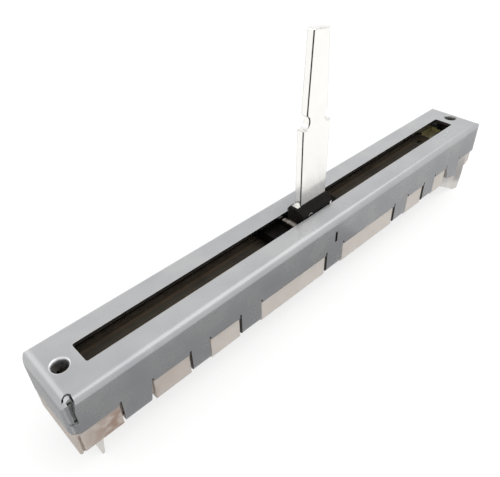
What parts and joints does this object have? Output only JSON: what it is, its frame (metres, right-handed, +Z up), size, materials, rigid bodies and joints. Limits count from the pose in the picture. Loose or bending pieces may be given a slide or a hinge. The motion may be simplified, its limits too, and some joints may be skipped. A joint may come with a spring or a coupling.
{
  "type": "slide potentiometer",
  "caption": "Long narrow slide potentiometer with a folded sheet cover over a moulded base, a flat notched lever in a straight slot, and pins below both ends.",
  "frame": {"origin": "under the middle of the body, level with the terminal tips", "axes": "+X along the travel towards the lug end, +Y across the body, +Z up out of the panel face"},
  "size_m": [0.075, 0.0088, 0.0342],
  "materials": {
    "cover_steel": "satin grey plated sheet with soft bends",
    "base_plastic": "moulded cream plastic, slightly translucent",
    "board_laminate": "dark brown paper laminate",
    "carbon_print": "carbon ink",
    "conductive_print": "dark conductive ink",
    "silver_print": "silver ink",
    "eyelet_brass": "tinned brass",
    "terminal_tin": "bright tin plate",
    "stop_rubber": "matte black pad",
    "slider_plastic": "black moulded plastic, slightly glossy",
    "lever_steel": "bright plated flat steel",
    "wiper_alloy": "spring alloy",
    "spring_steel": "spring steel"
  },
  "bodies": {
    "housing": {"top_cover": "cover_steel", "base_body": "base_plastic", "resistor_board": "board_laminate", "resistive_track_a": "carbon_print", "resistive_track_b": "carbon_print", "collector_track_a": "conductive_print", "collector_track_b": "conductive_print", "track_end_pads": "silver_print", "terminal_eyelets": "eyelet_brass", "terminal_1a": "terminal_tin", "terminal_1b": "terminal_tin", "terminal_2a": "terminal_tin", "terminal_2b": "terminal_tin", "terminal_3a": "terminal_tin", "terminal_3b": "terminal_tin", "end_stop_near": "stop_rubber", "end_stop_far": "stop_rubber"},
    "slider": {"slider_carriage": "slider_plastic", "lever": "lever_steel", "wiper_a": "wiper_alloy", "wiper_b": "wiper_alloy", "side_spring": "spring_steel"}
  },
  "joints": [
    {"name": "slider_travel", "type": "slide", "parent": "housing", "child": "slider", "axis": [1, 0, 0], "range_m": [-0.03, 0.03]}
  ]
}
